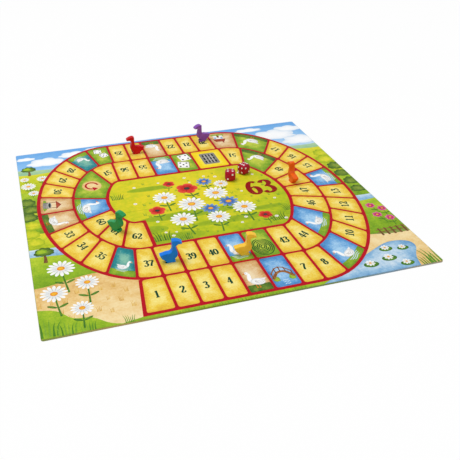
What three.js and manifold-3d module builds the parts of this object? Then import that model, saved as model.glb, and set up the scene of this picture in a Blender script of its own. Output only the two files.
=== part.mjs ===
// Game of the goose: a board that folds in half, with six goose pawns and two dice on it.
// Millimetres, +Z up. The origin is under the middle of the board, on the table.
import * as THREE from 'three';
import { mergeVertices } from 'three/addons/utils/BufferGeometryUtils.js';
import { RoundedBoxGeometry } from 'three/addons/geometries/RoundedBoxGeometry.js';
import Module from 'manifold-3d';

const wasm = await Module();
wasm.setup();

// Board
const BOARD_WIDTH = 480;
const BOARD_DEPTH = 480;
const CORNER_RADIUS = 3;
const LEAST_CORNER_RADIUS = 0.1;
const CORE_THICKNESS = 1.4;
const PRINT_THICKNESS = 0.25;
const LINING_THICKNESS = 0.25;
const PASTE_FILM = 0.05;
const TURN_IN_WIDTH = 12;
const TAPE_LEAF_WIDTH = 15;
const PAPER_GAP = 0.3;
const FOLD_GAP = 0.3;

// Printed track, as far as the pawns need it to stand on their spaces
const TRACK_MARGIN = 8.5;
const TRACK_ROW_DEPTH = 66.5;
const LEFT_TRACK_MARGIN = 21;
const RIGHT_TRACK_MARGIN = 23;
const SIDE_TRACK_WIDTH = 45;

// Goose pawn, seen from the side: heights are above the sole of the foot
const GOOSE_LENGTH = 27.6;
const GOOSE_HEIGHT = 30;
const GOOSE_THICKNESS = 8;
const GOOSE_EDGE = 0.5;
const HEAD_HEIGHT = 5.6;
const FOREHEAD_DROP = 0.8;
const BEAK_HEIGHT = 2.3;
const BEAK_LENGTH = 4.4;
const BEAK_OVERHANG = 5.3;
const CHIN_DROP = 2.4;
const NECK_WIDTH = 4.3;
const NECK_LEAN = 2.4;
const SHOULDER_RADIUS = 5.4;
const BACK_HEIGHT = 13.4;
const TAIL_DROP = 2.1;
const TAIL_UNDERCUT = 2.4;
const BELLY_HEIGHT = 6.4;
const BREAST_RISE = 5.6;
const FOOT_LENGTH = 10.2;
const FOOT_HEIGHT = 3.6;
const TOE_HEIGHT = 2.6;
const TOE_LENGTH = 2.8;

// Dice
const DIE_SIZE = 16;
const DIE_EDGE_RADIUS = 4.8;
const DIE_EDGE_STEPS = 5;
const PIP_DIAMETER = 3;
const PIP_DEPTH = 0.6;
const PIP_SPACING = 3.5;
const PIP_SIDES = 12;

const printBottom = LINING_THICKNESS + CORE_THICKNESS + 2 * PASTE_FILM;
const coreBottom = LINING_THICKNESS + PASTE_FILM;
const boardTop = printBottom + PRINT_THICKNESS;
const outerRow = BOARD_DEPTH / 2 - TRACK_MARGIN - TRACK_ROW_DEPTH / 2;
const innerRow = outerRow - TRACK_ROW_DEPTH;
const leftInnerTrack = -BOARD_WIDTH / 2 + LEFT_TRACK_MARGIN + 1.5 * SIDE_TRACK_WIDTH;
const rightInnerTrack = BOARD_WIDTH / 2 - RIGHT_TRACK_MARGIN - 1.5 * SIDE_TRACK_WIDTH;

const COLOURS = {
  core: 0x9a948a,
  print: 0xd8cf4a,
  lining: 0x24406e,
  tape: 0x1c2f52,
  dice: 0x9c1030,
};
const ROUGHNESS = { core: 0.9, print: 0.45, lining: 0.7, tape: 0.8, pawn: 0.4, dice: 0.15 };

// Each pawn stands on a space of the track; turn is degrees about +Z, with 0 facing right.
const PAWNS = [
  { name: 'red_goose', colour: 0xc3141e, x: -54, y: outerRow - 8, turn: 181 },
  { name: 'purple_goose', colour: 0x6e3284, x: 62, y: outerRow + 8, turn: 192 },
  { name: 'orange_goose', colour: 0xdc5014, x: rightInnerTrack - 2, y: 17, turn: 91 },
  { name: 'green_goose', colour: 0x1e8246, x: leftInnerTrack + 26, y: -43.5, turn: -50 },
  { name: 'blue_goose', colour: 0x0f5abe, x: -76.5, y: -innerRow - 5, turn: -3 },
  { name: 'yellow_goose', colour: 0xe6b42d, x: 14, y: -innerRow - 18, turn: -8 },
];

// The dice lie on the meadow in the middle of the track.
const DICE = [
  { name: 'left_die', x: 61.5, y: 52, turn: -18, top: 4 },
  { name: 'right_die', x: 88, y: 67, turn: 27, top: 6 },
];

// Directions of the six faces and the value on each; opposite faces add up to seven.
const FACE_TURNS = [
  { value: 4, turn: [0, 0, 0] },
  { value: 3, turn: [Math.PI, 0, 0] },
  { value: 2, turn: [Math.PI / 2, 0, 0] },
  { value: 5, turn: [-Math.PI / 2, 0, 0] },
  { value: 6, turn: [0, Math.PI / 2, 0] },
  { value: 1, turn: [0, -Math.PI / 2, 0] },
];

function solid(geometry) {
  const bare = geometry.index ? geometry.toNonIndexed() : geometry.clone();
  for (const name of Object.keys(bare.attributes)) {
    if (name !== 'position') bare.deleteAttribute(name);
  }
  const merged = mergeVertices(bare, 1e-4);
  const vertProperties = new Float32Array(merged.attributes.position.array);
  const triVerts = new Uint32Array(merged.index.array);
  return new wasm.Manifold(new wasm.Mesh({ numProp: 3, vertProperties, triVerts }));
}

function geometryOf(manifold) {
  const mesh = manifold.getMesh();
  const geometry = new THREE.BufferGeometry();
  geometry.setAttribute('position', new THREE.BufferAttribute(mesh.vertProperties, 3));
  geometry.setIndex(new THREE.BufferAttribute(mesh.triVerts, 1));
  geometry.computeVertexNormals();
  return geometry;
}

function part(name, geometry, colour, roughness) {
  const material = new THREE.MeshStandardMaterial({ color: colour, roughness, metalness: 0 });
  const mesh = new THREE.Mesh(geometry, material);
  mesh.name = name;
  return mesh;
}

// Outline of half a board, drawn for the front half: square at the fold, rounded at the two outer corners.
function halfOutline(inset, foldEdge) {
  const side = BOARD_WIDTH / 2 - inset;
  const front = -BOARD_DEPTH / 2 + inset;
  const radius = Math.max(CORNER_RADIUS - inset, LEAST_CORNER_RADIUS);
  const outline = new THREE.Shape();
  outline.moveTo(side, foldEdge);
  outline.lineTo(-side, foldEdge);
  outline.lineTo(-side, front + radius);
  outline.absarc(-side + radius, front + radius, radius, Math.PI, 1.5 * Math.PI, false);
  outline.lineTo(side - radius, front);
  outline.absarc(side - radius, front + radius, radius, 1.5 * Math.PI, 2 * Math.PI, false);
  outline.lineTo(side, foldEdge);
  return outline;
}

function slab(outline, bottom, thickness) {
  const options = { depth: thickness, bevelEnabled: false, curveSegments: 4 };
  const geometry = new THREE.ExtrudeGeometry(outline, options);
  return geometry.translate(0, 0, bottom);
}

// The printed sheet covers the top, wraps the three outer edges and turns in under the board.
function printSheet() {
  const foldEdge = -FOLD_GAP / 2;
  const past = FOLD_GAP;
  const wrapped = solid(slab(halfOutline(0, foldEdge), 0, boardTop));
  const inside = halfOutline(PRINT_THICKNESS, foldEdge + past);
  const pocket = solid(slab(inside, LINING_THICKNESS, printBottom - LINING_THICKNESS));
  const window = solid(slab(halfOutline(TURN_IN_WIDTH, foldEdge + past), -past, LINING_THICKNESS + 2 * past));
  return geometryOf(wrapped.subtract(pocket).subtract(window));
}

function coreBoard() {
  return slab(halfOutline(PRINT_THICKNESS + PASTE_FILM, -FOLD_GAP / 2), coreBottom, CORE_THICKNESS);
}

function liningPaper() {
  const inset = TURN_IN_WIDTH + PAPER_GAP;
  return slab(halfOutline(inset, -FOLD_GAP / 2 - TAPE_LEAF_WIDTH - PAPER_GAP), 0, LINING_THICKNESS);
}

function tapeLeaf() {
  const length = BOARD_WIDTH - 2 * (TURN_IN_WIDTH + PAPER_GAP);
  const leaf = new THREE.BoxGeometry(length, TAPE_LEAF_WIDTH, LINING_THICKNESS);
  return leaf.translate(0, -FOLD_GAP / 2 - TAPE_LEAF_WIDTH / 2, LINING_THICKNESS / 2);
}

// Both halves are the same pieces; the back one is the front one turned half a turn about +Z.
function boardHalf(side, turn) {
  const half = new THREE.Group();
  half.rotation.z = turn;
  half.add(part(`${side}_print_sheet`, printSheet(), COLOURS.print, ROUGHNESS.print));
  half.add(part(`${side}_core_board`, coreBoard(), COLOURS.core, ROUGHNESS.core));
  half.add(part(`${side}_lining_paper`, liningPaper(), COLOURS.lining, ROUGHNESS.lining));
  half.add(part(`${side}_hinge_tape`, tapeLeaf(), COLOURS.tape, ROUGHNESS.tape));
  return half;
}

// Side view of the goose: x runs from tail to beak, y is up, and the foot stands on y = 0.
function gooseOutline() {
  const footBack = (GOOSE_LENGTH - FOOT_LENGTH) / 2;
  const footFront = footBack + FOOT_LENGTH;
  const breast = GOOSE_LENGTH - BEAK_OVERHANG;
  const chin = GOOSE_HEIGHT - HEAD_HEIGHT;
  const neckFront = breast - NECK_LEAN;
  const neckBack = neckFront - NECK_WIDTH;
  const shoulder = neckBack - SHOULDER_RADIUS;
  const outline = new THREE.Shape();
  outline.moveTo(footBack, 0);
  outline.lineTo(footFront, 0);
  outline.lineTo(footFront, TOE_HEIGHT);
  outline.lineTo(footFront - TOE_LENGTH, FOOT_HEIGHT);
  outline.quadraticCurveTo(breast, BELLY_HEIGHT, breast, BELLY_HEIGHT + BREAST_RISE);
  outline.lineTo(neckFront, chin - CHIN_DROP);
  outline.lineTo(GOOSE_LENGTH - BEAK_LENGTH, chin);
  outline.lineTo(GOOSE_LENGTH, chin);
  outline.lineTo(GOOSE_LENGTH, chin + BEAK_HEIGHT);
  outline.lineTo(GOOSE_LENGTH - BEAK_LENGTH, GOOSE_HEIGHT - FOREHEAD_DROP);
  outline.lineTo(neckFront, GOOSE_HEIGHT);
  outline.lineTo(neckBack + NECK_WIDTH / 2, GOOSE_HEIGHT);
  outline.lineTo(neckBack, GOOSE_HEIGHT - FOREHEAD_DROP);
  outline.lineTo(neckBack, BACK_HEIGHT + SHOULDER_RADIUS);
  outline.quadraticCurveTo(neckBack, BACK_HEIGHT, shoulder, BACK_HEIGHT);
  outline.lineTo(footBack, BACK_HEIGHT);
  outline.lineTo(0, BACK_HEIGHT - TAIL_DROP);
  outline.lineTo(TAIL_UNDERCUT, BELLY_HEIGHT);
  outline.lineTo(footBack - TAIL_UNDERCUT, FOOT_HEIGHT);
  return outline;
}

function goose() {
  const depth = GOOSE_THICKNESS - 2 * GOOSE_EDGE;
  const geometry = new THREE.ExtrudeGeometry(gooseOutline(), {
    depth,
    curveSegments: 4,
    bevelThickness: GOOSE_EDGE,
    bevelSize: GOOSE_EDGE,
    bevelOffset: -GOOSE_EDGE,
    bevelSegments: 1,
  });
  geometry.translate(-GOOSE_LENGTH / 2, 0, -depth / 2);
  geometry.rotateX(Math.PI / 2);
  return geometry;
}

// Pip places on one face, as steps of the pip spacing from its middle.
function pipPlaces(value) {
  const places = [];
  if (value % 2 === 1) places.push([0, 0]);
  if (value > 1) places.push([-1, -1], [1, 1]);
  if (value > 3) places.push([-1, 1], [1, -1]);
  if (value === 6) places.push([-1, 0], [1, 0]);
  return places;
}

function faceRotation(face) {
  return new THREE.Matrix4().makeRotationFromEuler(new THREE.Euler(...face.turn));
}

// A die with the face of the given value turned up.
function die(top) {
  let body = solid(new RoundedBoxGeometry(DIE_SIZE, DIE_SIZE, DIE_SIZE, DIE_EDGE_STEPS, DIE_EDGE_RADIUS));
  for (const face of FACE_TURNS) {
    for (const [across, along] of pipPlaces(face.value)) {
      const pip = new THREE.CylinderGeometry(PIP_DIAMETER / 2, PIP_DIAMETER / 2, 2 * PIP_DEPTH, PIP_SIDES);
      pip.rotateX(Math.PI / 2);
      pip.translate(across * PIP_SPACING, along * PIP_SPACING, DIE_SIZE / 2);
      pip.applyMatrix4(faceRotation(face));
      body = body.subtract(solid(pip));
    }
  }
  const geometry = geometryOf(body);
  const upper = FACE_TURNS.find((face) => face.value === top);
  geometry.applyMatrix4(faceRotation(upper).invert());
  return geometry.translate(0, 0, DIE_SIZE / 2);
}

function onBoard(mesh, x, y, turn) {
  const place = new THREE.Group();
  place.position.set(x, y, boardTop);
  place.rotation.z = THREE.MathUtils.degToRad(turn);
  place.add(mesh);
  return place;
}

const game = new THREE.Group();
game.add(boardHalf('front', 0));
game.add(boardHalf('back', Math.PI));
for (const pawn of PAWNS) {
  const figure = part(pawn.name, goose(), pawn.colour, ROUGHNESS.pawn);
  game.add(onBoard(figure, pawn.x, pawn.y, pawn.turn));
}
for (const one of DICE) {
  const cube = part(one.name, die(one.top), COLOURS.dice, ROUGHNESS.dice);
  game.add(onBoard(cube, one.x, one.y, one.turn));
}

export default game;
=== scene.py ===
# Looks of a game of the goose: a printed folding board, six goose pawns and two dice.
import math
import random

import bmesh
import bpy
from mathutils import Matrix, Vector
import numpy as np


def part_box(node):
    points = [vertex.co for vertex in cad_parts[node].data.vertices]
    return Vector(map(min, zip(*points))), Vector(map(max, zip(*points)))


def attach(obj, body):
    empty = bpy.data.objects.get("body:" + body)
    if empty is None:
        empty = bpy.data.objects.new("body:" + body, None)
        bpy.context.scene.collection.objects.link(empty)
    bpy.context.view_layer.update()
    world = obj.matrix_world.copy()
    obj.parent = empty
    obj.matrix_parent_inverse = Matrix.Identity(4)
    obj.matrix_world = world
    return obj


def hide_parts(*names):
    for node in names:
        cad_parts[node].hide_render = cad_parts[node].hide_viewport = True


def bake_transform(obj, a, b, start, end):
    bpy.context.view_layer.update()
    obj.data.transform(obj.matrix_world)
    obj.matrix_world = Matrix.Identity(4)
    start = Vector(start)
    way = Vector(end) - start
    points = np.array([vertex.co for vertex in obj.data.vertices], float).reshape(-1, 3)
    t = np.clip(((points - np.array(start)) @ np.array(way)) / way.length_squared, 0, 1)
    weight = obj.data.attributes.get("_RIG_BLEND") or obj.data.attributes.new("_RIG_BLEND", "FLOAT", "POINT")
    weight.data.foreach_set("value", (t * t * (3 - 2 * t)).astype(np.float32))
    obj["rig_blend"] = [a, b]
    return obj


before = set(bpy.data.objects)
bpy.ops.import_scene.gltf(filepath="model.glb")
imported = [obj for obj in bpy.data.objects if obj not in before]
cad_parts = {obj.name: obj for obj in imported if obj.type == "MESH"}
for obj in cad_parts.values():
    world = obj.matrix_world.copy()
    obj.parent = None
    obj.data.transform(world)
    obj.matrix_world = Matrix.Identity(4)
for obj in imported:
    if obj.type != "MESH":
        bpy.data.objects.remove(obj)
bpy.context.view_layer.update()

MM = 0.001
random.seed(63)

# Board, in millimetres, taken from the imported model
_, sheet_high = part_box("front_print_sheet")
HALF_BOARD = sheet_high.x / MM
BOARD_TOP = sheet_high.z / MM
FOLD_EDGE = -sheet_high.y / MM

# The print is built up in thin levels of ink, so that no two shapes lie in one plane where they overlap.
# It keeps clear of the rim and of the fold, and is cut off across the corners.
INK_STEP = 0.015
LEVELS = 23
GROUND_LEVEL = 1
HILLS_LEVEL = 2
STEM_LEVEL = 4
PLANTS_LEVEL = 9
BLOOM_LEVEL = 10
TRACK_LEVEL = 13
SPACE_LEVEL = 14
SYMBOL_LEVEL = 15
EDGE_MARGIN = 0.4
FOLD_ROOM = 0.05
CORNER_CUT = 2.4
SOFT_RINGS = (1.0, 0.85, 0.6, 0.3)

# Spiral track: straight rows between two round ends, one row further in after each turn. The outer line lies
# at TRACK_TOP from the middle of the board. An end reaches out past the rows, less by a step for each row
# further in, and slack draws it in on its diagonals.
TRACK_TOP = 231.5
TRACK_ROW = 66.5
BACK_ROW = 65.8
LEFT_END = -98.4
RIGHT_END = 85.0
STRAIGHT = RIGHT_END - LEFT_END
RIGHT_REACH = 132.0
RIGHT_STEP = 39.0
RIGHT_STEP_GROWTH = 2.6
LEFT_REACH = 120.4
LEFT_STEP = 46.8
END_SLACK = 0.005
END_SLACK_GROWTH = 0.008

# Spaces: half the line between two of them, the border round the track, the rounding of their corners,
# the distance between points on an outline, and the share of the depth that a shore takes up
LINE_INSET = 1.8
BORDER = 3.2
SPACE_CORNER = 3.6
OUTLINE_STEP = 9.0
SHORE_DEPTH = 0.26

# Where the end of the first turn runs in beside the first space, counted in stretches of the track; its
# border goes on there one level lower
JOIN_BEGIN = 3.85
JOIN_END = 4.0
FIRST_TURN_STEPS = 160
JOIN_STEPS = 20
LAST_TURN_STEPS = 150

# Lines between the spaces, for each turn in front, on the right, at the back and on the left:
# x in millimetres on the rows, degrees round the ends. The start line leans, from its outer to its inner x.
FRONT = 0
START_LINE = (-128.3, -120.3)
END_LINE = -88.0
FRONT_LINES = (-92.4, -64.0, -36.0, -7.6, 24.1, 58.8)
TURNS = (
    (
        FRONT_LINES,
        (0.9, 15.2, 35.9, 49.7, 62.8, 74.8, 86.7, 101.8, 113.7, 126.5, 139.3, 164.2),
        (75.4, 46.5, 19.8, -7.6, -39.7, -67, -94.6),
        (15.4, 33.6, 47.8, 62.3, 75.9, 91.1, 107.7, 121.2, 135.8, 151.5, 168.3),
    ),
    (
        FRONT_LINES,
        (1.8, 26.1, 56.5, 75.1, 92.2, 108.5, 127.2, 162.1),
        (78.4, 28.3, -4.4, -40.1, -67.9, -97.5),
        (27, 77, 107.7, 131.3, 157.3),
    ),
)

# Traditional special spaces, and the ground that each is printed on
SPECIAL_SPACES = {
    5: ("goose", "clay"), 6: ("bridge", "water"), 9: ("goose", "water"), 14: ("goose", "water"),
    18: ("goose", "grass"), 19: ("inn", "clay"), 23: ("goose", "clay"), 26: ("dice", "grass"),
    27: ("goose", "lagoon"), 31: ("well", "clay"), 32: ("goose", "clay"), 36: ("goose", "lagoon"),
    41: ("goose", "water"), 42: ("maze", "grass"), 45: ("goose", "water"), 50: ("goose", "grass"),
    52: ("prison", "sun"), 53: ("dice", "grass"), 54: ("goose", "water"), 58: ("return", "grass"),
    59: ("goose", "water"),
}

# Box of each symbol as it is drawn: left, low, right, high
SYMBOL_BOXES = {
    "goose": (-13.5, -13.5, 13.5, 16), "bridge": (-14, -19, 14, 13), "inn": (-13, -15, 13, 18),
    "dice": (-12.5, -19, 12.5, 19), "well": (-15, -14, 15, 16), "maze": (-14, -16, 14, 16),
    "prison": (-16, -20, 16, 20), "return": (-16, -17, 16, 17),
}

# A symbol is tried at each of these depths across the track, and shrunk there until it fits the space
SYMBOL_DEPTHS = (0.36, 0.4, 0.44, 0.48, 0.52, 0.56, 0.6)
SYMBOL_STRETCH = (1.0, 1.25)
LARGEST_SYMBOL = 1.5
SYMBOL_SHRINK = 0.98
SYMBOL_MARGIN = 0.8

# Numbers: drawn upright towards the middle of the board, stretched along the board's x and y. The goal is
# the last space and has its number in the meadow.
NUMBER_HEIGHT = 12.7
OUTER_NUMBER_DEPTH = 0.5
INNER_NUMBER_DEPTH = 0.47
NUMBER_STRETCH = (0.88, 1.136)
GOAL = 63
GOAL_PLACE = (96.0, 15.3)
GOAL_HEIGHT = 39.0
GOAL_STRETCH = (1.0, 1.13)

# Pen of the numbers, in parts of their height
DIGIT_ADVANCE = 0.56
THICK_STROKE = 0.205
THIN_STROKE = 0.095

# Fields beside the track, from far to near: ink, left, right, height of the far edge, depth, swell of that
# edge and its phase, and where they aren't the usual ones, the tones of the near and the far edge
LEFT_FIELDS = (
    ("far_hill", -242, -150, 176, 40, 4, 0.4),
    ("field", -242, -150, 164, 70, 4, 2.0),
    ("pasture", -242, -150, 100, 70, 3, 0.8),
    ("pasture", -242, -150, 40, 60, 3, 2.4),
    ("field", -242, -150, -20, 50, 3, 1.1),
    ("pond", -242, -150, -60, 24, 1.5, 1.2, 0.3, 0.9),
    ("pasture", -242, -110, -80, 70, 3, 0.2),
    ("sand", -242, -100, -140, 102, 6, 3.0, 0.9, 0.35),
)
RIGHT_FIELDS = (
    ("far_hill", 150, 242, 142, 40, 4, 1.0),
    ("field", 150, 242, 128, 120, 5, 0.6),
    ("pasture", 150, 242, 30, 84, 3, 2.2),
    ("pond", 150, 242, -52, 18, 1.5, 0.2, 0.3, 0.9),
    ("pasture", 150, 242, -66, 90, 3, 1.4),
    ("sand", 120, 242, -158, 100, 5, 0.7, 0.35, 0.85),
)
FRONT_FIELD = ("pasture", -104, 110, -226, 30, 2, 0.5)

# Clouds: x, y, half width, height
CLOUDS = (
    (-196, 196, 30, 22), (-150, 214, 26, 16), (-226, 218, 16, 9), (186, 186, 40, 30),
    (222, 156, 34, 26), (150, 222, 26, 11), (218, 208, 30, 18), (-118, 226, 16, 9),
)

# Bushes: x, y, half width. Trees and large tufts of grass: x, y, height.
LEFT_BUSHES = (
    (-234, 66, 13), (-229, 44, 14), (-235, 22, 14), (-230, -2, 13), (-235, -24, 13), (-230, -46, 12),
)
RIGHT_BUSHES = (
    (232, 96, 14), (228, 70, 17), (234, 44, 15), (231, 18, 13), (234, -10, 14), (231, -36, 12),
)
LEFT_TREES = ((-224, 158, 32), (-222, -94, 36))
FRONT_TUFTS = (
    (-232, -238, 34), (-212, -242, 28), (-190, -242, 22), (-146, -240, 15), (222, -242, 26), (236, -240, 36),
)
MEADOW_TUFTS = ((-74, -88, 26), (-44, -94, 20), (88, -84, 24), (112, -62, 20), (-110, 40, 20))

# Flowers on stems beside the track: x, y, radius, length of the stem. Water lilies: x, y, half width.
LEFT_DAISIES = ((-228, 122, 11, 24), (-206, 143, 9, 20), (-232, 146, 7, 16), (-222, 98, 8, 14))
RIGHT_PINKS = ((222, -86, 7, 22), (234, -98, 7, 22), (219, -112, 7, 22), (232, -124, 7, 20))
FRONT_DAISIES = ((-206, -112, 17, 52), (-180, -150, 14, 44), (-219, -162, 16, 44), (-192, -198, 13, 36))
LILIES = ((186, -194, 9), (208, -198, 8), (152, -220, 10), (180, -214, 10), (196, -230, 9))

# Fence: left, right, low, high. Outlines of the grass and the pond along the front edge: x, y.
FENCE = (196, 240, -164, -146)
BELOW_FRONT = -244
VERGE = ((-98, -242), (-98, -226), (-114, -230), (-134, -235), (-172, -242))
GRASS_CORNER = ((-144, -242), (-166, -234), (-184, -218), (-204, -213), (-220, -195), (-242, -188))
POND_RIM = (
    (76, -242), (126, -216), (164, -194), (196, -180), (220, -184), (226, -198), (214, -220), (208, -242),
)

# Meadow in the middle: its middle and reach, its darker patches (x, y, half width, half height), and its
# wild flowers from the far ones to the near ones (x, y, radius, kind)
MEADOW_MIDDLE = (-10, 40)
MEADOW_REACH = (215, 170)
MEADOW_SHADES = (
    (-20, -30, 74, 10), (30, -62, 60, 8), (-60, 60, 34, 7), (84, -44, 30, 6), (-62, -84, 46, 12),
    (-86, -58, 26, 11),
)
FLOWERS = (
    (-30, 66, 9, "poppy"), (22, 58, 12, "cornflower"), (-8, 44, 16, "poppy"), (44, 44, 11, "daisy"),
    (-46, 26, 17, "daisy"), (28, 18, 18, "daisy"), (-14, -4, 20, "daisy"), (-64, -8, 12, "poppy"),
    (38, -12, 15, "cornflower"), (8, -24, 13, "cornflower"), (54, -34, 17, "daisy"), (-36, -42, 18, "daisy"),
    (12, -50, 16, "daisy"), (74, -64, 10, "poppy"),
)

# Kinds of flowers: ink, number of petals, depth of the notches between them, ink of the heart
FLOWER_KINDS = {
    "daisy": ("petal", 14, 0.5, "pollen"),
    "small_daisy": ("petal", 6, 0.4, "pollen"),
    "lily": ("petal", 8, 0.5, "pollen"),
    "cornflower": ("cornflower", 10, 0.55, "pollen"),
    "poppy": ("poppy", 5, 0.22, "dark"),
    "pink": ("pink_bloom", 6, 0.3, "pollen"),
}

# Boxes over which small plants are scattered: left, low, right, high
STRAW_BOX = (-238, -220, -136, -160)
VERGE_BOX = (-96, -242, 66, -239)
MEADOW_GRASS_BOX = (-84, -98, 118, 80)
MEADOW_DAISY_BOX = (-90, -90, 110, 88)

# Dice: the body that each belongs to, its turn in degrees as it lies, and the value on top
DICE = {
    "left_die": ("left_cube", -18.0, 4),
    "right_die": ("right_cube", 27.0, 6),
}
DIE_SIZE = 16.0
DIE_EDGE_RADIUS = 4.8
DIE_SMOOTH_ANGLE = 35
PIP_RADIUS = 1.5
PIP_DEPTH = 0.6
PIP_SIDES = 20
PIP_SPACING = 3.5

# Turns about x and then y, in degrees, from the top of a die to the face with each value
DIE_FACES = {
    4: (0, 0),
    3: (180, 0),
    2: (90, 0),
    5: (-90, 0),
    6: (0, 90),
    1: (0, -90),
}

# Paint in a pip, ring by ring: share of the pip's radius, depth under the face or None for the pip's floor
PAINT_RINGS = ((1.0, None), (1.0, 0.12), (0.8, 0.16), (0.4, 0.19))

# Hinge tape: half the width of the strip that bends. Pawns: softened edges.
TAPE_BEND = 2.0
PAWN_SMOOTH_ANGLE = 40
PAWN_EDGE = 0.3
SOFT_EDGE_ANGLE = 25

# Camera at the photograph's viewing angle: place in metres, direction, lens and sensor in millimetres
CAMERA_PLACE = (-0.224253, -0.816509, 0.456349)
CAMERA_AIM = (0.2685, 0.8170, -0.5102)
CAMERA_LENS = 53.07
CAMERA_CLIP = (0.01, 50.0)
SENSOR = 36.0

# Lamps aimed at the middle of the board: place and size in metres, power in watts
LAMPS = {
    "key": ((-0.45, 0.35, 1.7), 0.8, 15.5),
    "fill": ((0.5, -1.2, 1.0), 1.4, 3.5),
}
WORLD_LIGHT = 0.53
WHITE = (1, 1, 1, 1)
FLOOR_REACH = 12.0
FLOOR_DROP = 0.0002
FLOOR_GLOW = 0.97

# Colours of plain materials, from dark to light
PAWNS = {
    "red": ("#AE0210", "#CA0414", "#DA1424"),
    "purple": ("#763E9C", "#8A50B2", "#9C62C2"),
    "orange": ("#DA5208", "#F0640E", "#F87828"),
    "green": ("#1A8446", "#2A9C5A", "#42B070"),
    "blue": ("#0068D0", "#047CE8", "#1690F4"),
    "yellow": ("#EAB022", "#FCCA38", "#FFD858"),
}
DICE_REDS = ("#8C001C", "#AC0228", "#C20C36")
PIP_WHITES = ("#DEDCD6", "#F6F5F2", "#FFFFFF")
BOARD_GREYS = ("#6E6860", "#9A948A", "#BDB7AC")
LINING_BLUES = ("#16294C", "#24406E", "#3A5A8C")
CLOTH_BLUES = ("#0E1A32", "#1C2F52", "#304A78")
FLOOR_GREYS = ("#E8E8E8", "#F0F0F0", "#F4F4F4")

# Distance between the bands of a wave texture at scale 1
WAVE_PERIOD = 0.314

# Sheet where it wraps the edges: the print's colours there, darkened with painted shade, along the front edge
# from left to right, along the sides from front to back. The front edge's colours end at a share of the
# board's depth.
SHADED_FRONT_EDGE = ("#8E9C4C", "#B8A264", "#83912A", "#7A8820", "#7E9058", "#84A0B4", "#B0A27C")
SHADED_SIDE_EDGE = ("#B49660", "#869648", "#667E34", "#768C3C", "#A0B03C", "#94B8C4", "#78AAD8")
FRONT_EDGE_SHARE = 0.07

# Inks: colour at the dark, middle and light end, strength and size in millimetres of the mottling
INKS = {
    "sky": ("#5EA2E4", "#88BEEE", "#D0E7F8", 0.16, 40),
    "cloud": ("#BFD6EA", "#EEF4FA", "#FFFFFF", 0.22, 14),
    "far_hill": ("#6FA6A0", "#8FBF9A", "#BBD6A4", 0.3, 18),
    "field": ("#94AE1C", "#BCC824", "#E2DA34", 0.5, 16),
    "pasture": ("#6A961C", "#90B624", "#BCCF34", 0.5, 12),
    "hedge": ("#37581E", "#5C7C28", "#8CA23A", 0.6, 7),
    "meadow": ("#83A61A", "#B6C41A", "#E2D224", 0.45, 24),
    "sand": ("#CE9C54", "#E9C480", "#F6E0AC", 0.45, 15),
    "pond": ("#5C94C6", "#94BEDE", "#D2E4F0", 0.5, 18),
    "leaf": ("#2A561E", "#477C26", "#80A632", 0.5, 5),
    "grass_blade": ("#3A7020", "#5F962A", "#9ABB3A", 0.4, 6),
    "straw": ("#B07A20", "#D9A73C", "#F2D478", 0.5, 5),
    "bark": ("#5A3A20", "#7E5630", "#A67C4C", 0.6, 4),
    "petal": ("#B9C4CC", "#EDEDE8", "#FFFFFF", 0.25, 5),
    "poppy": ("#8E1418", "#CC2420", "#EC5A42", 0.4, 6),
    "cornflower": ("#2A4E92", "#4470B4", "#8CAEDC", 0.4, 5),
    "pink_bloom": ("#8E1450", "#C42870", "#E67CA8", 0.4, 5),
    "pollen": ("#C4680C", "#EE9C18", "#FAD048", 0.4, 3),
    "shade": ("#7A961A", "#94AE1C", "#AEC020", 0.4, 8),
    "red_line": ("#A0021A", "#B8041C", "#C81024", 0.3, 12),
    "space_yellow": ("#DBA736", "#EECB42", "#F8E788", 0.6, 10),
    "water": ("#2E6CAC", "#5E9ED6", "#A9D2F0", 0.45, 12),
    "lagoon": ("#14606E", "#2C8C92", "#86BFA8", 0.45, 12),
    "grass": ("#548A20", "#8AAE2A", "#C6D048", 0.5, 10),
    "clay": ("#B47E44", "#DAB076", "#F0DCB4", 0.45, 10),
    "sun": ("#EDBE10", "#F6DC1C", "#FBF06E", 0.3, 14),
    "feather": ("#A9B2BA", "#EFEFEC", "#FFFFFF", 0.2, 5),
    "beak": ("#B8500C", "#E27818", "#F4A850", 0.3, 3),
    "timber": ("#5C3216", "#8A5226", "#B98550", 0.6, 3),
    "roof": ("#7C2A18", "#A8402A", "#CE7450", 0.5, 4),
    "stone": ("#6E6A66", "#98948E", "#C6C2BA", 0.5, 4),
    "dark": ("#1E2622", "#2A3430", "#46504A", 0.3, 4),
    "ivory": ("#D8D4C8", "#F2F0EA", "#FFFFFF", 0.2, 6),
    "number_green": ("#043220", "#06422C", "#105239", 0.3, 5),
    "goal_red": ("#780404", "#900608", "#A41414", 0.3, 9),
}

# Fine mottling: its size and strength as shares of the broad one's
INK_FINE_SIZE = 0.2
INK_FINE_SHARE = 0.8


# Node helpers

def linear(code):
    """Scene-linear colour of a hex colour code."""
    channels = [int(code[place:place + 2], 16) / 255 for place in (1, 3, 5)]
    return [c / 12.92 if c <= 0.04045 else ((c + 0.055) / 1.055) ** 2.4 for c in channels] + [1.0]


def new_material(name):
    material = bpy.data.materials.new(name)
    material.use_nodes = True
    tree = material.node_tree
    return material, tree, tree.nodes["Principled BSDF"]


def connect(tree, value, socket):
    """Links an output to a socket, or sets a plain number on it."""
    if isinstance(value, bpy.types.NodeSocket):
        tree.links.new(value, socket)
    else:
        socket.default_value = value


def calculate(tree, operation, first, second):
    made = tree.nodes.new("ShaderNodeMath")
    made.operation = operation
    connect(tree, first, made.inputs[0])
    connect(tree, second, made.inputs[1])
    return made.outputs[0]


def on_piece(tree, kind, scale):
    """A texture fixed to the piece."""
    place = tree.nodes.new("ShaderNodeTexCoord")
    made = tree.nodes.new(kind)
    made.inputs["Scale"].default_value = scale
    tree.links.new(place.outputs["Object"], made.inputs["Vector"])
    return made


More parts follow.
